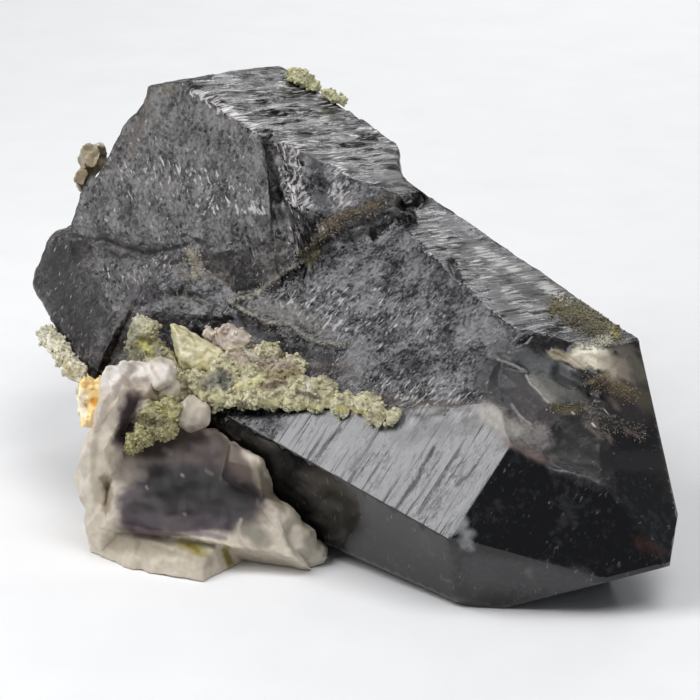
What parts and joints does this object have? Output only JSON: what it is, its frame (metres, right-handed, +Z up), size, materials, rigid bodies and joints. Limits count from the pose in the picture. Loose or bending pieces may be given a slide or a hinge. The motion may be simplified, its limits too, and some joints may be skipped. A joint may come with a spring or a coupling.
{
  "type": "morion quartz specimen",
  "caption": "Specimen of morion, near-black smoky quartz: parallel-grown crystals lying on a prism side, with a milky-edged side crystal and feldspar crust.",
  "frame": {"origin": "middle of the specimen's outline, on the surface that it stands on", "axes": "+Z up; -Y towards the picture's camera; +X to the camera's right, the side that the main crystal's point turns to"},
  "size_m": [0.113, 0.112, 0.0708],
  "materials": {
    "morion_crystals": "dark smoky quartz, near black, glassy on the crystal faces",
    "side_crystal": "smoky quartz with a dark core and milky edges",
    "cream_crystal": "cream translucent quartz",
    "pink_crystals": "pinkish white quartz blades",
    "feldspar_crust": "yellow-green feldspar, ragged",
    "side_crust": "olive green granular crust",
    "orange_feldspar_chip": "orange and cream feldspar",
    "edge_crust": "pale yellow-brown crust",
    "top_edge_grains": "pale olive grains",
    "top_edge_grains_small": "pale olive grains",
    "brown_lump": "brown-yellow translucent quartz"
  },
  "bodies": {
    "root": {"morion_crystals": "morion_crystals", "side_crystal": "side_crystal", "cream_crystal": "cream_crystal", "pink_crystals": "pink_crystals", "feldspar_crust": "feldspar_crust", "side_crust": "side_crust", "orange_feldspar_chip": "orange_feldspar_chip", "edge_crust": "edge_crust", "top_edge_grains": "top_edge_grains", "top_edge_grains_small": "top_edge_grains_small", "brown_lump": "brown_lump"}
  },
  "joints": []
}
